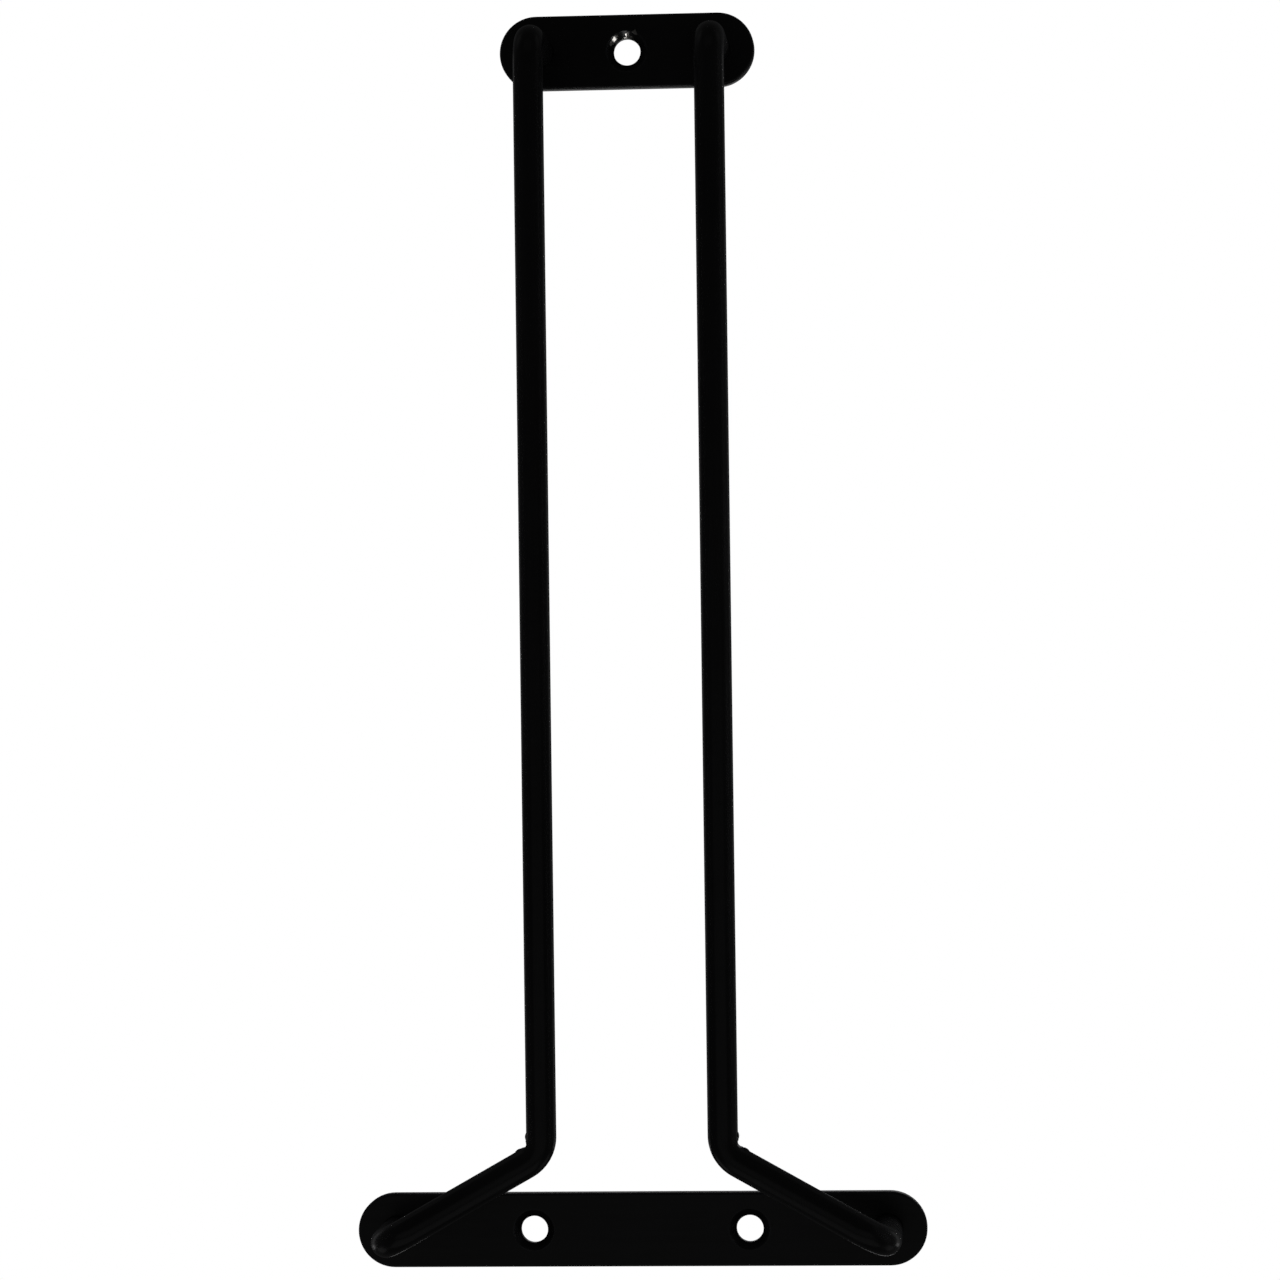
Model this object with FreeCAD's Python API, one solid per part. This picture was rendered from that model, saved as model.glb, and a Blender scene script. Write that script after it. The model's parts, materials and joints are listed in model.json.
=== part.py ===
import FreeCAD, Part
import math
import os

# Hanging rack of two bent round rods on two flat plates, welded into one frame. Millimetres.
#
# Frame: +X to the right, +Y into the wall, +Z up. The backs of both plates lie on the wall
# plane Y = 0. The origin is on that plane, midway between the two screws of the lower plate.

# ---- Driving dimensions ----

# Flat bar that both plates are cut from, with fully rounded ends.
bar_width = 15.0
bar_thickness = 3.0
front_edge_radius = 0.5     # rolled edge of the bar, on the side that faces the room
back_edge_bevel = 0.2       # edge broken on the side that lies on the wall

# Round bar that both rods are bent from.
rod_diameter = 6.0
bend_inside_radius = 3.2    # every bend, measured on the inner side of the rod

# Where the two rods run.
plate_distance = 240.0      # centre line of the lower plate to that of the upper plate
rod_spacing = 36.0          # between the centre lines of the long runs
mouth_spacing = 100.0       # between the centre lines of the two lower legs
flare_rise = 18.0           # from the lower legs up to the corner where each rod straightens
stand_off = 21.0            # clear gap between the front of a plate and the back of a rod
leg_inset = 8.0             # from the end of a plate to the centre line of its leg

# The flare bends are made cold over a bar with a small radius. It leaves a groove across the
# inner side of the bend, and the steel that it pushes aside stands up as a lip on each side.
die_radius = 0.8
die_depth = 0.1             # of the groove, below the straight inner sides of the rod
lip_height = 0.25
lip_radius = 1.5
lip_distance = 1.8          # from the inner corner of the bend to the middle of each lip

# Screw holes.
screw_hole_diameter = 5.5
screw_hole_bevel = 1.4      # 45 degree countersink on the front of each hole
screw_spacing = 44.0        # between the two holes of the lower plate

# Plug welds. Each leg passes into a hole and is welded from the back, then ground flush.
rod_hole_clearance = 0.1    # all round the rod
weld_depth = 1.2            # from the back of the plate to the end of the rod
weld_flare = 1.0            # how much wider the weld is at the back than at the rod's end

# ---- Sizes worked out from them ----

rod_radius = rod_diameter / 2
bend_radius = bend_inside_radius + rod_radius
rod_hole_radius = rod_radius + rod_hole_clearance
rod_plane = -(bar_thickness + stand_off + rod_radius)
upper_plate_length = rod_spacing + 2 * leg_inset
lower_plate_length = mouth_spacing + 2 * leg_inset
upper_leg_x = rod_spacing / 2
lower_leg_x = mouth_spacing / 2
hole_x = screw_spacing / 2
past = 1.0                  # how far a cutting tool runs past the face that it enters
same_plane = 1e-4           # planes closer together than this are one plane

into_wall = FreeCAD.Vector(0, 1, 0)


# ---- Plates ----

def round_ended_bar(length, height):
    """A flat bar on the wall plane, centred on X = 0 and on the given height, with softened edges."""
    end_radius = bar_width / 2
    reach = length / 2 - end_radius
    top, bottom = height + end_radius, height - end_radius

    def point(x, z):
        return FreeCAD.Vector(x, -bar_thickness, z)

    outline = Part.Wire([
        Part.makeLine(point(-reach, top), point(reach, top)),
        Part.Arc(point(reach, top), point(reach + end_radius, height), point(reach, bottom)).toShape(),
        Part.makeLine(point(reach, bottom), point(-reach, bottom)),
        Part.Arc(point(-reach, bottom), point(-reach - end_radius, height), point(-reach, top)).toShape(),
    ])
    bar = Part.Face(outline).extrude(into_wall * bar_thickness)
    bar = bar.makeFillet(front_edge_radius, edges_at(bar, -bar_thickness))
    return bar.makeChamfer(back_edge_bevel, edges_at(bar, 0.0))


def edges_at(shape, y):
    """The edges of a shape that lie wholly in the plane of the given Y."""
    return [edge for edge in shape.Edges
            if abs(edge.BoundBox.YMin - y) < same_plane and abs(edge.BoundBox.YMax - y) < same_plane]


def screw_hole_cutter(x, height):
    """A through hole with a bevelled mouth on the front face."""
    radius = screw_hole_diameter / 2
    front = FreeCAD.Vector(x, -bar_thickness, height)
    hole = Part.makeCylinder(radius, bar_thickness + 2 * past, front - into_wall * past, into_wall)
    bevel = Part.makeCone(radius + screw_hole_bevel + past, radius, screw_hole_bevel + past,
                          front - into_wall * past, into_wall)
    return hole.fuse(bevel)


def leg_hole_cutter(x, height):
    """The hole that a leg passes into, widened at the back for its weld."""
    start = FreeCAD.Vector(x, -bar_thickness - past, height)
    hole = Part.makeCylinder(rod_hole_radius, bar_thickness + past, start, into_wall)
    return hole.fuse(plug_weld(x, height))


def plate(length, height, leg_x, screw_places):
    """One plate with a leg hole near each end and the screw holes given by their X."""
    cutters = [screw_hole_cutter(x, height) for x in screw_places]
    cutters += [leg_hole_cutter(side * leg_x, height) for side in (-1, 1)]
    return round_ended_bar(length, height).cut(cutters)


# ---- Welds ----

def plug_weld(x, height):
    """The cone of weld metal behind the end of one leg, flush with the back of the plate."""
    start = FreeCAD.Vector(x, -weld_depth, height)
    return Part.makeCone(rod_hole_radius, rod_hole_radius + weld_flare, weld_depth, start, into_wall)


# ---- Rods ----

def bend_arc(before, corner, after):
    """The arc of bend_radius that rounds a corner of the centre line, from tangent to tangent."""
    incoming = (before - corner).normalize()
    outgoing = (after - corner).normalize()
    half_angle = incoming.getAngle(outgoing) / 2
    setback = bend_radius / math.tan(half_angle)
    bisector = (incoming + outgoing).normalize()
    centre = corner + bisector * (bend_radius / math.sin(half_angle))
    middle = centre - bisector * bend_radius
    return Part.Arc(corner + incoming * setback, middle, corner + outgoing * setback).toShape()


def centre_line(points):
    """A wire through the points with every inner corner rounded."""
    arcs = [bend_arc(*points[i - 1:i + 2]) for i in range(1, len(points) - 1)]
    edges = []
    start = points[0]
    for arc in arcs:
        edges += [Part.makeLine(start, arc.firstVertex().Point), arc]
        start = arc.lastVertex().Point
    edges.append(Part.makeLine(start, points[-1]))
    return Part.Wire(edges)


def cold_bend(bar, before, corner, after):
    """The bar with the groove and the two lips that the die leaves inside one bend."""
    incoming = (before - corner).normalize()
    outgoing = (after - corner).normalize()
    bisector = (incoming + outgoing).normalize()
    half_angle_sine = math.sin(incoming.getAngle(outgoing) / 2)
    inner_corner = corner + bisector * (rod_radius / half_angle_sine)
    die_centre = corner + bisector * ((rod_radius + die_radius - die_depth) / half_angle_sine)

    for run, other_run in ((incoming, outgoing), (outgoing, incoming)):
        inward = (run * run.dot(other_run) - other_run).normalize()
        middle = inner_corner + run * lip_distance + inward * (lip_radius - lip_height)
        bar = bar.fuse(Part.makeSphere(lip_radius, middle))
    die_start = die_centre - into_wall * rod_diameter
    return bar.cut(Part.makeCylinder(die_radius, 2 * rod_diameter, die_start, into_wall))


def rod(side):
    """One bent rod, side being -1 for the left one and 1 for the right one."""
    upper_x, lower_x = side * upper_leg_x, side * lower_leg_x
    upper_end = FreeCAD.Vector(upper_x, -weld_depth, plate_distance)
    upper_corner = FreeCAD.Vector(upper_x, rod_plane, plate_distance)
    flare_corner = FreeCAD.Vector(upper_x, rod_plane, flare_rise)
    lower_corner = FreeCAD.Vector(lower_x, rod_plane, 0)
    lower_end = FreeCAD.Vector(lower_x, -weld_depth, 0)

    path = centre_line([upper_end, upper_corner, flare_corner, lower_corner, lower_end])
    section = Part.Wire(Part.makeCircle(rod_radius, upper_end, into_wall))
    bar = path.makePipeShell([section], True, False)
    return cold_bend(bar, upper_corner, flare_corner, lower_corner)


# ---- Pieces ----

parts = {
    "upper_plate": plate(upper_plate_length, plate_distance, upper_leg_x, [0.0]),
    "lower_plate": plate(lower_plate_length, 0.0, lower_leg_x, [-hole_x, hole_x]),
}
for name, side in (("left", -1), ("right", 1)):
    parts[name + "_rod"] = rod(side)
    parts["upper_" + name + "_weld"] = plug_weld(side * upper_leg_x, plate_distance)
    parts["lower_" + name + "_weld"] = plug_weld(side * lower_leg_x, 0.0)

os.makedirs("parts", exist_ok=True)
for name, shape in parts.items():
    solid = shape.Solids[0] if len(shape.Solids) == 1 else shape
    solid.exportStep(f"parts/{name}.step")
    box = solid.BoundBox
    print(f"{name:18s} valid {solid.isValid()}  solids {len(solid.Solids)}  "
          f"X {box.XMin:.2f}..{box.XMax:.2f}  Y {box.YMin:.2f}..{box.YMax:.2f}  "
          f"Z {box.ZMin:.2f}..{box.ZMax:.2f}  volume {solid.Volume:.1f}")
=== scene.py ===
# %% [markdown]
# # A black hanging rack
#
# The object is a small rack of welded steel: two bent round rods that stand off in front of two
# flat plates with screw holes. Its steel parts arrive here finished, at their real size and in
# their real place, so this lesson is about how a coated surface looks. It sets up the camera and
# the studio first. Then it gives the steel its powder coat, with the pebbled gloss, the thin
# edges, the marks of the hook that it hung from in the oven, and the ground welds at the back.

# %% Load the rack
import json
import math

import bpy
from mathutils import Euler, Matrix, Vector


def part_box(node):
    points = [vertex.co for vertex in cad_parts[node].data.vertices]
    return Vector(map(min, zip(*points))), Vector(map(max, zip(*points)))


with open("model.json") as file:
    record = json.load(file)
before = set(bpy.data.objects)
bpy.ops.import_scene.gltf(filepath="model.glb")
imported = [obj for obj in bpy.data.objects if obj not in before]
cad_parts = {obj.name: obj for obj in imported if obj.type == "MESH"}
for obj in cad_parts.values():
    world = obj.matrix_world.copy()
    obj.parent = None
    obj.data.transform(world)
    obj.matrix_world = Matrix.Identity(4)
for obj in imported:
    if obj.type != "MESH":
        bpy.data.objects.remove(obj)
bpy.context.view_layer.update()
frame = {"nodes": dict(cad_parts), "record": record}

nodes = frame["nodes"]
print("pieces:", sorted(nodes))

# %% [markdown]
# ## Units and small helpers
#
# Everything is in metres, so sizes that a maker gives in millimetres are turned round once, by
# one constant. Colours are written the way a paint chart gives them, as sRGB hex values, and one
# function turns them into the linear numbers that a shader adds and multiplies. A node tree is
# only a list of nodes with settings and links, so one function that adds a node is enough. It
# gives back the output that the next node reads, which is nearly always the first one.

# %% Units, colours and nodes
MM = 0.001


def linear(hex_colour):
    """A colour like "#1A1B1C" as linear red, green, blue and an alpha of one."""
    channels = [int(hex_colour[i:i + 2], 16) / 255 for i in (1, 3, 5)]
    return [c / 12.92 if c <= 0.04045 else ((c + 0.055) / 1.055) ** 2.4 for c in channels] + [1.0]


def add_node(tree, kind, settings=None, take=0, **inputs):
    """Adds a node and returns one of its outputs.

    An input is named with _ for a space, or as i0, i1 and so on by its place, and is either set
    to a value or linked to another node's output.
    """
    node = tree.nodes.new(kind)
    for name, value in (settings or {}).items():
        setattr(node, name, value)
    for name, value in inputs.items():
        by_place = name[0] == "i" and name[1:].isdigit()
        socket = node.inputs[int(name[1:]) if by_place else name.replace("_", " ")]
        if isinstance(value, bpy.types.NodeSocket):
            tree.links.new(value, socket)
        else:
            socket.default_value = value
    return node.outputs[take] if node.outputs else None


def new_material(name):
    """An empty material and its node tree."""
    material = bpy.data.materials.new(name)
    material.use_nodes = True
    material.node_tree.nodes.clear()
    return material, material.node_tree


# %% [markdown]
# ## The camera
#
# The rack is seen almost square on, from a little to its right and from a little under its
# middle. A lens of 120 mm on a full frame, from under a metre away, gives the slight spread of
# the rods in front of their plates. The camera turns about a point beside the middle of the
# rack, on the wall plane. It rolls a little too, because the rack hangs slightly askew.

# %% Camera
plate_low, plate_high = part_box("lower_plate")
upper_low, upper_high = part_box("upper_plate")
rack_middle = Vector((0, plate_high.y, (plate_low.z + upper_high.z) / 2))

camera_distance = 873 * MM
camera_azimuth = math.radians(3.99)
camera_elevation = math.radians(-0.53)
camera_roll = math.radians(0.74)
aim = rack_middle + Vector((1.0, 0, -0.07)) * MM

camera = bpy.data.objects.new("camera", bpy.data.cameras.new("camera"))
bpy.context.scene.collection.objects.link(camera)
camera.data.lens = 120.2
camera.data.sensor_width = 36.0
camera.data.clip_start = 0.01
camera.data.clip_end = 50.0
camera.location = aim + camera_distance * Vector((
    math.sin(camera_azimuth) * math.cos(camera_elevation),
    -math.cos(camera_azimuth) * math.cos(camera_elevation),
    math.sin(camera_elevation)))
look = (aim - camera.location).to_track_quat("-Z", "Y")
camera.rotation_euler = (look.to_matrix() @ Euler((0, 0, -camera_roll)).to_matrix()).to_euler()
bpy.context.scene.camera = camera
print("camera at", [round(v, 3) for v in camera.location])

# %% [markdown]
# ## The room
#
# Black gloss has hardly any colour of its own. What the eye sees on it is the room, so the room
# is a part of its material. Here the room is a white dome with a pale floor that glow evenly,
# and only the camera sees them: the ground is then pale from every side, and yet it lays no
# grey veil over the black. The light itself comes from panels, in the next step.

# %% Room
def mesh_object(name, vertices, faces, smooth=False):
    """A mesh object linked to the scene."""
    mesh = bpy.data.meshes.new(name)
    mesh.from_pydata(vertices, [], faces)
    if smooth:
        mesh.shade_smooth()
    piece = bpy.data.objects.new(name, mesh)
    bpy.context.scene.collection.objects.link(piece)
    return piece


def ring_of_points(radius, height, count):
    """Points round a level circle about the rack."""
    turns = [2 * math.pi * i / count for i in range(count)]
    return [(radius * math.cos(t), radius * math.sin(t), height) for t in turns]


floor_height = -0.6
room_radius = 4.0
dome_rings = 16
dome_sides = 48

dome_points = []
for i in range(dome_rings):
    rise = math.pi / 2 * i / dome_rings
    dome_points += ring_of_points(room_radius * math.cos(rise),
                                  floor_height + room_radius * math.sin(rise), dome_sides)
dome_points.append((0, 0, floor_height + room_radius))
dome_faces = []
for i in range(dome_rings - 1):
    for j in range(dome_sides):
        k = (j + 1) % dome_sides
        dome_faces.append((i * dome_sides + j, (i + 1) * dome_sides + j,
                           (i + 1) * dome_sides + k, i * dome_sides + k))
last_ring = (dome_rings - 1) * dome_sides
for j in range(dome_sides):
    dome_faces.append((last_ring + j, len(dome_points) - 1, last_ring + (j + 1) % dome_sides))
dome = mesh_object("backdrop", dome_points, dome_faces, smooth=True)
floor = mesh_object("floor", ring_of_points(room_radius, floor_height, dome_sides),
                    [tuple(range(dome_sides))])

for piece, colour in ((dome, "#FFFFFF"), (floor, "#F4F4F4")):
    paper, tree = new_material(piece.name + "_paper")
    glow = add_node(tree, "ShaderNodeEmission", Color=linear(colour), Strength=1.0)
    add_node(tree, "ShaderNodeOutputMaterial", Surface=glow)
    piece.data.materials.append(paper)
    piece.visible_diffuse = False
    piece.visible_glossy = False
    piece.visible_shadow = False
print("room:", len(dome_faces), "dome faces")

# %% [markdown]
# ## The lights
#
# A panel is placed by the side that it stands on, and its brightness is that of its surface,
# because that is what a glossy face shows of it: black gloss shows about 4% of what it faces,
# and nearly all of what it only grazes. So the room in front of the rack is kept dim, which
# leaves the front black, with one low table that lifts the lower plate a little. Large dim panels
# beside and behind it, high and low, are only grazed from the front, so they draw the soft
# lines round the bends. From the sides and from behind they become the highlights that show
# how round the rods are.

# %% Panels that the gloss reflects
def place_light(data, azimuth, elevation, distance, target):
    """A light that faces its target from the given side, in degrees. Azimuth 0 is the front."""
    turn, rise = math.radians(azimuth), math.radians(elevation)
    light = bpy.data.objects.new(data.name, data)
    bpy.context.scene.collection.objects.link(light)
    light.location = target + distance * Vector((
        math.sin(turn) * math.cos(rise), -math.cos(turn) * math.cos(rise), math.sin(rise)))
    light.rotation_euler = (target - light.location).to_track_quat("-Z", "Y").to_euler()
    return light


def soft_panel(name, azimuth, elevation, distance, size, brightness):
    """A rectangular softbox that faces the middle of the rack."""
    data = bpy.data.lights.new(name, "AREA")
    data.shape = "RECTANGLE"
    data.size, data.size_y = size
    data.energy = math.pi * size[0] * size[1] * brightness
    return place_light(data, azimuth, elevation, distance, rack_middle)


for name, azimuth, elevation, distance, size, brightness in (
        ("front_table", 0, -18, 1.4, (2.4, 0.8), 0.044),
        ("low_front_softbox", 0, -62, 0.75, (0.9, 0.5), 0.066),
        ("high_front_softbox", 0, 62, 1.5, (1.2, 0.8), 0.02),
        ("right_softbox", 85, 5, 1.0, (0.5, 1.2), 0.022),
        ("low_right_softbox", 110, -45, 2.0, (0.8, 0.8), 0.07),
        ("low_left_softbox", 250, -45, 2.0, (0.8, 0.8), 0.10),
        ("high_right_softbox", 110, 45, 2.0, (0.8, 0.8), 0.03),
        ("high_left_softbox", 250, 45, 2.0, (0.8, 0.8), 0.03),
        ("back_right_softbox", 134, -4, 2.2, (0.6, 1.6), 0.12),
        ("back_left_softbox", 226, -4, 2.2, (0.6, 1.6), 0.12),
        ("back_softbox", 180, 0, 2.2, (0.6, 0.6), 0.25),
        ("low_back_right_softbox", 135, -20, 2.2, (0.5, 0.35), 0.4),
        ("low_back_left_softbox", 225, -20, 2.2, (0.5, 0.35), 0.4),
        ("low_back_softbox", 180, -20, 2.2, (0.5, 0.35), 0.4)):
    soft_panel(name, azimuth, elevation, distance, size, brightness)

# %% [markdown]
# ## Lamps for the hook marks
#
# Over the upper hole the steel is bare in a few spots, on the bevel of the countersink. The bevel
# is tilted, so what its top and its left side mirror to the camera lies straight below the hole
# and below it to the right, where no panel stands. Two small round lamps are aimed at the hole
# from there. Their beams are narrow, so little of their light falls on the rods, and none of it
# on the lower legs.

# %% Narrow beams on the upper hole
upper_hole_mouth = Vector((0, upper_low.y, (upper_low.z + upper_high.z) / 2))

for name, azimuth, elevation, distance, radius, beam_angle, brightness in (
        ("hook_mark_side_spot", 78, -42, 0.5, 0.06, 20, 2.0),
        ("hook_mark_low_spot", 0, -80, 0.15, 0.02, 24, 2.5)):
    data = bpy.data.lights.new(name, "SPOT")
    data.shadow_soft_size = radius
    data.spot_size = math.radians(beam_angle)
    data.spot_blend = 1.0
    data.energy = 4 * math.pi ** 2 * radius ** 2 * brightness
    place_light(data, azimuth, elevation, distance, upper_hole_mouth)

# %% [markdown]
# ## Light without reflections
#
# The coat also scatters a little light by its pigment, like any paint. A studio brings that out
# with polarised lamps, because a filter on the lens can take their mirror images away. These fill
# panels do the same: they are hidden from glossy rays, so they only lift the dull black of the
# faces that look away from the camera, and a very dim even room light does the rest.

# %% Fill light
fill_distance = 2.0
fill_size = (1.0, 1.0)
room_brightness = 0.021

for name, azimuth, elevation, brightness in (
        ("back_left_fill", 215, 5, 15), ("back_right_fill", 145, 5, 15),
        ("back_top_fill", 180, 40, 3), ("left_fill", 275, 0, 2), ("right_fill", 85, 0, 1.6)):
    fill = soft_panel(name, azimuth, elevation, fill_distance, fill_size, brightness)
    fill.visible_glossy = False

world = bpy.data.worlds.new("room")
bpy.context.scene.world = world
world.use_nodes = True
background = world.node_tree.nodes["Background"]
background.inputs["Color"].default_value = linear("#FFFFFF")
background.inputs["Strength"].default_value = room_brightness
bpy.context.scene.view_settings.view_transform = "Standard"

# %% [markdown]
# ## The powder coat
#
# The rack is welded first and coated last, so rods, plates and welds all wear one skin. Black
# polyester powder is sprayed on dry and melted in an oven, where it flows into a semi-gloss film
# about 0.08 mm thick. It never flows quite flat: it keeps the waviness of orange peel, in soft
# pebbles 1 to 2 mm across, with finer ripples on them. To the eye that breaks every reflection
# into a slightly wobbly line. The shape is only a few hundredths of a millimetre deep, far too
# small to model, so two noise patterns are added up and given to a bump node.

# %% Orange peel
pebble_size = 1.8 * MM
pebble_height = 0.02 * MM
ripple_size = 0.5 * MM
ripple_height = 0.003 * MM
print("orange peel: pebbles", pebble_size / MM, "mm wide and", pebble_height / MM, "mm high")


def orange_peel(tree, place):
    """The height of the coat over the steel, in metres, as soft pebbles with finer ripples."""
    pebbles = add_node(tree, "ShaderNodeTexNoise", Vector=place, Scale=1 / pebble_size, Detail=0.0)
    ripples = add_node(tree, "ShaderNodeTexNoise", Vector=place, Scale=1 / ripple_size, Detail=1.0)
    fine = add_node(tree, "ShaderNodeMath", {"operation": "MULTIPLY"}, i0=ripples, i1=ripple_height)
    return add_node(tree, "ShaderNodeMath", {"operation": "MULTIPLY_ADD"},
                    i0=pebbles, i1=pebble_height, i2=fine)


# %% [markdown]
# ## Uneven black
#
# A jet black paint isn't one number. The film is a little thicker here and thinner there, hands
# and shop dust dull it in soft clouds, and wiping leaves it shinier in streaks along the bars.
# Both are noise again: clouds about 20 mm wide mix two near blacks, and streaks stretched along
# each bar move the roughness about its middle value.

# %% Clouds and wiping streaks
cloud_size = 20 * MM
streak_width = 1.5 * MM
streak_length = 30 * MM
print("streaks:", streak_width / MM, "mm wide and", streak_length / MM, "mm long")


def clouds(tree, place):
    """From 0 to 1 in soft patches."""
    noise = add_node(tree, "ShaderNodeTexNoise", Vector=place, Scale=1 / cloud_size, Detail=3.0)
    return add_node(tree, "ShaderNodeMapRange", i0=noise, i1=0.35, i2=0.65)


def wiped_roughness(tree, place, along, smoothest, roughest):
    """Roughness in long streaks that run along X or Z."""
    squeeze = streak_width / streak_length
    stretched = add_node(tree, "ShaderNodeVectorMath", {"operation": "MULTIPLY"},
                         i0=place, i1={"X": (squeeze, 1, 1), "Z": (1, 1, squeeze)}[along])
    streaks = add_node(tree, "ShaderNodeTexNoise", Vector=stretched,
                       Scale=1 / streak_width, Detail=2.0)
    return add_node(tree, "ShaderNodeMapRange", i0=streaks, i1=0.3, i2=0.7,
                    i3=smoothest, i4=roughest)


# %% [markdown]
# ## Where a point is on a plate
#
# The next features sit at known places of a plate: along its outline, round its screw holes and
# over its welds. So each needs to know how far a point is from something. Folding helps: the
# absolute value of the place, measured from the middle of the plate, lets one corner stand for
# all four, and one ring for both lower holes. How deep a point lies is kept apart.

# %% Folded place and depth
def folded_place(tree, place, name):
    """A place folded into one quarter of a plate's face, and its Y from the plate's middle."""
    low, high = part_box(name)
    beside = add_node(tree, "ShaderNodeVectorMath", {"operation": "SUBTRACT"},
                      i0=place, i1=(low + high) / 2)
    depth = add_node(tree, "ShaderNodeSeparateXYZ", take="Y", i0=beside)
    folded = add_node(tree, "ShaderNodeVectorMath", {"operation": "ABSOLUTE"}, i0=beside)
    flat = add_node(tree, "ShaderNodeVectorMath", {"operation": "MULTIPLY"}, i0=folded, i1=(1, 0, 1))
    return flat, depth


def distance_in_face(tree, flat, offset):
    """How far a folded place is from the point at the given X on the plate's middle line."""
    return add_node(tree, "ShaderNodeVectorMath", {"operation": "DISTANCE"}, take=1,
                    i0=flat, i1=(offset, 0, 0))


plate_thickness = plate_high.y - plate_low.y
plate_end_radius = (plate_high.z - plate_low.z) / 2
print("plates in mm: thickness", round(plate_thickness / MM, 2),
      "end radius", round(plate_end_radius / MM, 2))

# %% [markdown]
# ## Thin edges
#
# Melting powder pulls back from edges, and edges are what gets rubbed, so there the film is thin
# and the grey of the steel begins to show through. A plate is a bar with round ends, so how near
# a point is to its outline follows from its distance to the bar's middle line. The rim of a
# countersink is a ring about the hole's centre, on the front only. Noise breaks both up, because
# no edge wears evenly.

# %% How near a point is to an edge
countersink_bevel = 1.4 * MM
screw_holes = next(m for m in frame["record"]["mounts"] if m["name"] == "lower_screw_holes")
rim_radius = screw_holes["dims"]["hole_r_mm"] * MM + countersink_bevel
hole_offset = {"lower_plate": screw_holes["dims"]["spacing_x_mm"] / 2 * MM, "upper_plate": 0.0}
print("countersink rim radius in mm:", round(rim_radius / MM, 2))

# How far in from the outline, and then from the face, wear begins and is complete.
outline_wear = (0.7 * MM, 0.1 * MM)
face_wear = (0.8 * MM, 0.2 * MM)
rim_wear = 0.3 * MM
wear_patch_size = 3 * MM


def outline_edges(tree, flat, depth, name):
    """From 0 to 1 along the front and back edges of a plate's outline."""
    low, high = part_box(name)
    past_straight = add_node(tree, "ShaderNodeVectorMath", {"operation": "SUBTRACT"},
                             i0=flat, i1=((high.x - low.x) / 2 - plate_end_radius, 0, 0))
    from_line = add_node(tree, "ShaderNodeVectorMath", {"operation": "MAXIMUM"},
                         i0=past_straight, i1=(0, 0, 0))
    outward = add_node(tree, "ShaderNodeVectorMath", {"operation": "LENGTH"}, take=1, i0=from_line)
    at_outline = add_node(tree, "ShaderNodeMapRange", i0=outward,
                          i1=plate_end_radius - outline_wear[0],
                          i2=plate_end_radius - outline_wear[1])
    off_middle = add_node(tree, "ShaderNodeMath", {"operation": "ABSOLUTE"}, i0=depth)
    at_faces = add_node(tree, "ShaderNodeMapRange", i0=off_middle,
                        i1=plate_thickness / 2 - face_wear[0],
                        i2=plate_thickness / 2 - face_wear[1])
    return add_node(tree, "ShaderNodeMath", {"operation": "MULTIPLY"}, i0=at_outline, i1=at_faces)


def countersink_rims(tree, flat, depth, name):
    """From 0 to 1 round the rims of a plate's countersinks, on its front."""
    off_rim = add_node(tree, "ShaderNodeMath", {"operation": "SUBTRACT"},
                       i0=distance_in_face(tree, flat, hole_offset[name]), i1=rim_radius)
    near_rim = add_node(tree, "ShaderNodeMath", {"operation": "ABSOLUTE"}, i0=off_rim)
    ring = add_node(tree, "ShaderNodeMapRange", i0=near_rim, i1=rim_wear, i2=0.0)
    front = add_node(tree, "ShaderNodeMath", {"operation": "LESS_THAN"}, i0=depth, i1=0.0)
    return add_node(tree, "ShaderNodeMath", {"operation": "MULTIPLY"}, i0=ring, i1=front)


def thin_edges(tree, place, flat, depth, name):
    """From 0 to 1 where the coat is thin, in patches along every edge of a plate."""
    edges = add_node(tree, "ShaderNodeMath", {"operation": "MAXIMUM"},
                     i0=outline_edges(tree, flat, depth, name),
                     i1=countersink_rims(tree, flat, depth, name))
    patches = add_node(tree, "ShaderNodeTexNoise", Vector=place, Scale=1 / wear_patch_size, Detail=3.0)
    kept = add_node(tree, "ShaderNodeMapRange", i0=patches, i1=0.35, i2=0.6)
    return add_node(tree, "ShaderNodeMath", {"operation": "MULTIPLY"}, i0=edges, i1=kept)


# %% [markdown]
# ## Hook marks
#
# In the coating line the rack hangs by its upper hole on a wire hook. Where the wire touched the
# countersink no powder lands, and taking the rack off tears the film a little further. That
# leaves three ragged spots of bare bright steel over the hole: one along the bevel on the left,
# one that stands on the hole's edge, and a speck. A spot is where small balls with their middles
# on the bevel cut its surface. Noise shifts the place that is tested, so that the edge of the
# spot comes out ragged.

# %% Bare spots
# Each ball is an X, a Z and a radius, in mm about the middle of the upper hole.
long_mark = ((-3.1, 1.85, 0.5), (-2.7, 2.4, 0.6), (-2.2, 2.9, 0.55))
edge_mark = ((-0.4, 2.8, 0.45), (0.2, 3.0, 0.6), (0.25, 3.45, 0.45), (0.9, 2.85, 0.45))
speck = ((1.7, 3.7, 0.4),)
softness = 0.1 * MM
ragged_size = 0.8 * MM
ragged_shift = 1.6 * MM
print("hook marks:", len(long_mark + edge_mark + speck), "balls in three spots")


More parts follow.
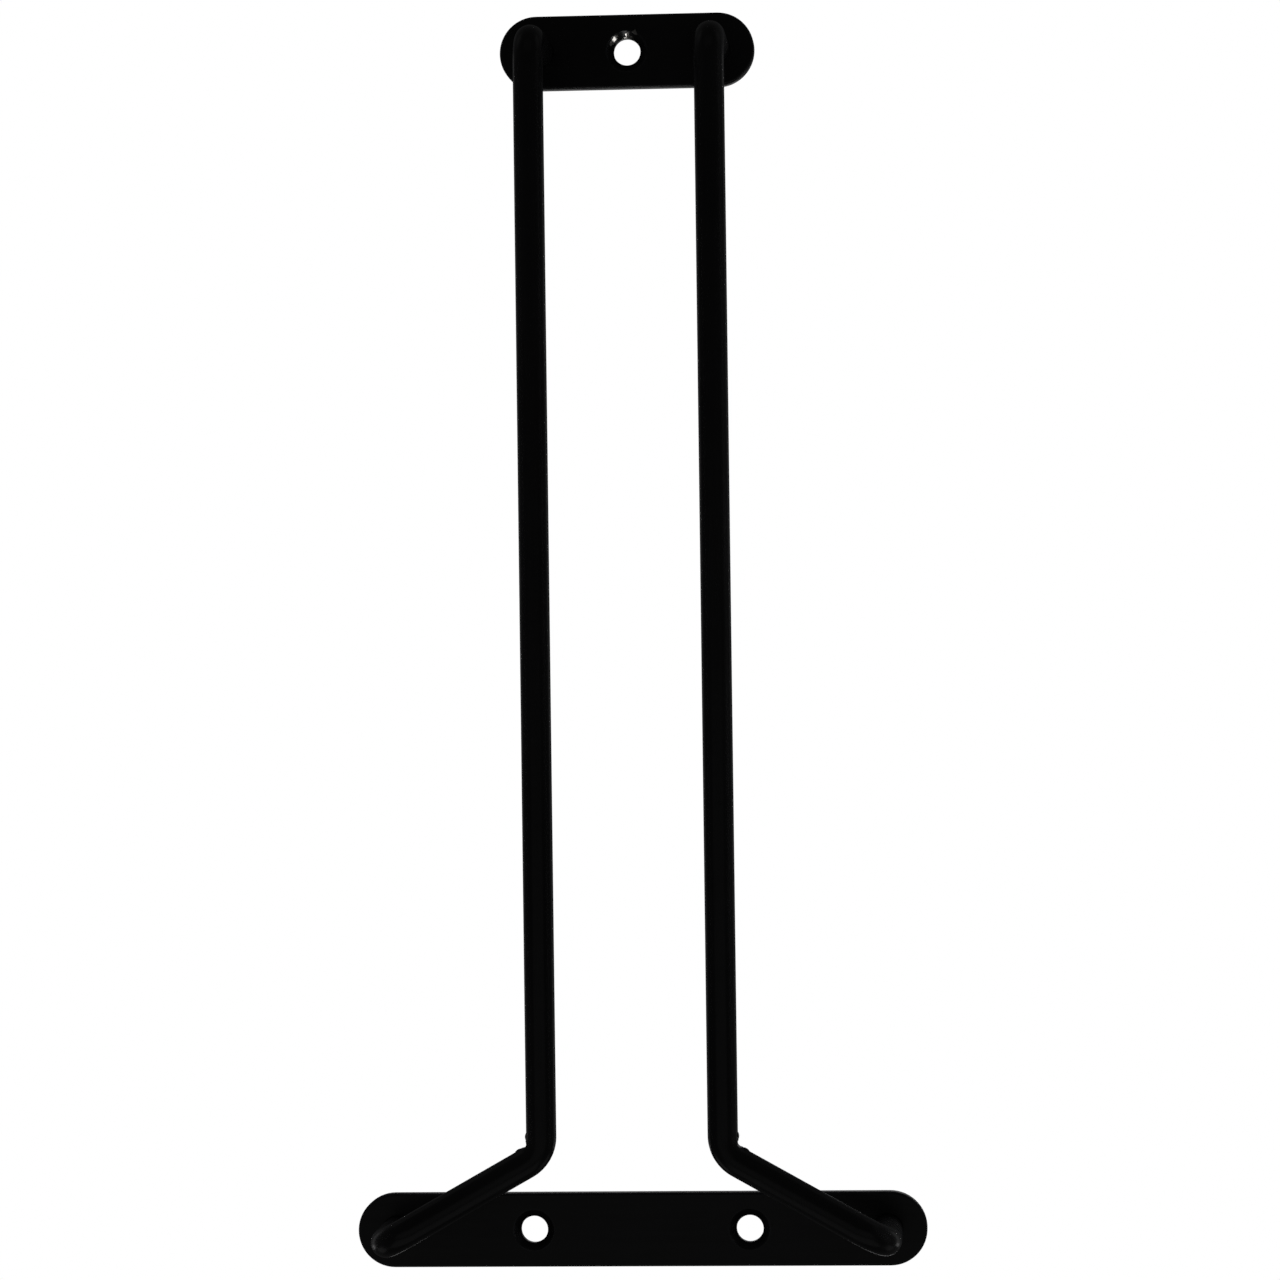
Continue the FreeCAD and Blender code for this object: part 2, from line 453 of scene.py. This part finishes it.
def bare_spots(tree, place):
    """1 on the hook marks and 0 elsewhere."""
    wobble = add_node(tree, "ShaderNodeTexNoise", take="Color", Vector=place,
                      Scale=1 / ragged_size, Detail=2.0)
    centred = add_node(tree, "ShaderNodeVectorMath", {"operation": "SUBTRACT"},
                       i0=wobble, i1=(0.5, 0.5, 0.5))
    shifted = add_node(tree, "ShaderNodeVectorMath", {"operation": "MULTIPLY_ADD"},
                       i0=centred, i1=(ragged_shift, ragged_shift, ragged_shift), i2=place)
    bare = 0.0
    for x, z, radius in long_mark + edge_mark + speck:
        up_the_bevel = rim_radius - math.hypot(x, z) * MM
        middle = upper_hole_mouth + Vector((x * MM, up_the_bevel, z * MM))
        away = add_node(tree, "ShaderNodeVectorMath", {"operation": "DISTANCE"}, take=1,
                        i0=shifted, i1=middle)
        spot = add_node(tree, "ShaderNodeMapRange", i0=away,
                        i1=radius * MM, i2=radius * MM - softness)
        bare = add_node(tree, "ShaderNodeMath", {"operation": "MAXIMUM"}, i0=spot, i1=bare)
    return bare


# %% [markdown]
# ## Ground welds
#
# Each leg is welded in from the back, and the weld is ground flush so that the plate lies flat on
# the wall. The coat covers the work but doesn't hide it: a round seam where weld metal meets the
# plate, and grinding scratches that run past it and fade out. They are about 0.4 mm apart, drawn
# coarser than the grit so that they show. Weld and plate read the same pattern from the same
# places, so that the scratches run on from one to the other.

# %% Grinding marks and seam
weld_low, weld_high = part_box("lower_right_weld")
weld_radius = (weld_high.x - weld_low.x) / 2
leg_offset = {name: (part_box(weld)[0].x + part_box(weld)[1].x) / 2
              for name, weld in (("lower_plate", "lower_right_weld"),
                                 ("upper_plate", "upper_right_weld"))}
print("weld radius in mm:", round(weld_radius / MM, 2))

ground_margin = 3 * MM
grinding_angle = math.radians(25)
scratch_spacing = 0.4 * MM
scratch_squeeze = 0.06
scratch_depth = 0.1 * MM
seam_width = 0.4 * MM
seam_depth = 0.08 * MM
back_margin = 0.1 * MM


def ground_weld(tree, place, flat, depth, name):
    """The height of the seam and the grinding marks round the legs, on the back of a plate."""
    from_leg = distance_in_face(tree, flat, leg_offset[name])
    turned = add_node(tree, "ShaderNodeVectorRotate", {"rotation_type": "Y_AXIS"},
                      Vector=place, Angle=grinding_angle)
    stretched = add_node(tree, "ShaderNodeVectorMath", {"operation": "MULTIPLY"},
                         i0=turned, i1=(scratch_squeeze, 1, 1))
    scratches = add_node(tree, "ShaderNodeTexNoise", Vector=stretched,
                         Scale=1 / scratch_spacing, Detail=2.0)
    worked = add_node(tree, "ShaderNodeMapRange", i0=from_leg,
                      i1=weld_radius + ground_margin, i2=weld_radius, i4=scratch_depth)
    marks = add_node(tree, "ShaderNodeMath", {"operation": "MULTIPLY"}, i0=scratches, i1=worked)

    off_seam = add_node(tree, "ShaderNodeMath", {"operation": "SUBTRACT"},
                        i0=from_leg, i1=weld_radius)
    near_seam = add_node(tree, "ShaderNodeMath", {"operation": "ABSOLUTE"}, i0=off_seam)
    seam = add_node(tree, "ShaderNodeMapRange", i0=near_seam,
                    i1=0.0, i2=seam_width, i4=seam_depth)
    relief = add_node(tree, "ShaderNodeMath", {"operation": "ADD"}, i0=marks, i1=seam)

    back = add_node(tree, "ShaderNodeMath", {"operation": "GREATER_THAN"},
                    i0=depth, i1=plate_thickness / 2 - back_margin)
    return add_node(tree, "ShaderNodeMath", {"operation": "MULTIPLY"}, i0=relief, i1=back)


# %% [markdown]
# ## Putting the coat together
#
# One function builds the finish, and each kind of piece asks for the features that it has.
# The film is a plastic, so it isn't metallic and its index of refraction is near 1.5. Its
# roughness of about 0.25 is semi-gloss: panels show in it as soft-edged lights. Bare steel is a
# metal, so there Metallic goes to 1 and the colour becomes that of its reflection. A countersink
# is cut with a smooth tool, so its steel is shinier than the coat. All this gives the eye a deep
# black with quiet wobbly lights, a hint of grey along the edges, and a few glints at one hole.

# %% The finishes
COAT_DEEP = linear("#101011")
COAT_DUSTY = linear("#171718")
COAT_THIN = linear("#2E2E31")
BARE_STEEL = linear("#C9C6C1")
COAT_SMOOTHEST = 0.21
COAT_ROUGHEST = 0.3
COAT_IOR = 1.5
CUT_STEEL_ROUGHNESS = 0.16


def powder_coat(name, along, plate=None):
    """Semi-gloss black polyester powder coat over a bar that runs along X or Z."""
    material, tree = new_material(name)
    place = add_node(tree, "ShaderNodeTexCoord", take="Object")
    colour = add_node(tree, "ShaderNodeMix", {"data_type": "RGBA"}, take=2,
                      i0=clouds(tree, place), i6=COAT_DEEP, i7=COAT_DUSTY)
    roughness = wiped_roughness(tree, place, along, COAT_SMOOTHEST, COAT_ROUGHEST)
    height = orange_peel(tree, place)
    metallic = 0.0
    if plate:
        flat, depth = folded_place(tree, place, plate)
        colour = add_node(tree, "ShaderNodeMix", {"data_type": "RGBA"}, take=2,
                          i0=thin_edges(tree, place, flat, depth, plate), i6=colour, i7=COAT_THIN)
        height = add_node(tree, "ShaderNodeMath", {"operation": "ADD"},
                          i0=height, i1=ground_weld(tree, place, flat, depth, plate))
    if plate == "upper_plate":
        metallic = bare_spots(tree, place)
        colour = add_node(tree, "ShaderNodeMix", {"data_type": "RGBA"}, take=2,
                          i0=metallic, i6=colour, i7=BARE_STEEL)
        roughness = add_node(tree, "ShaderNodeMix",
                             i0=metallic, i2=roughness, i3=CUT_STEEL_ROUGHNESS)
    bump = add_node(tree, "ShaderNodeBump", Strength=1.0, Distance=1.0, Height=height)
    shader = add_node(tree, "ShaderNodeBsdfPrincipled", Base_Color=colour, Roughness=roughness,
                      Metallic=metallic, IOR=COAT_IOR, Normal=bump)
    add_node(tree, "ShaderNodeOutputMaterial", Surface=shader)
    print(name, "has", len(tree.nodes), "nodes")
    return material


finishes = {
    # Long wobbly lines of dim light down each rod, which say that it is round and thickly coated.
    "rod": powder_coat("powder_coated_round_bar", "Z"),
    # A nearly even black, greyer along its edges, with scratched rounds on the back.
    "lower": powder_coat("powder_coated_flat_bar", "X", "lower_plate"),
    # The same black, with glints of bare steel over the hole.
    "upper": powder_coat("powder_coated_flat_bar_with_hook_marks", "X", "upper_plate"),
}
for name, node in nodes.items():
    kind = "rod" if name.endswith("rod") else name.split("_")[0]
    node.data.materials.clear()
    node.data.materials.append(finishes[kind])
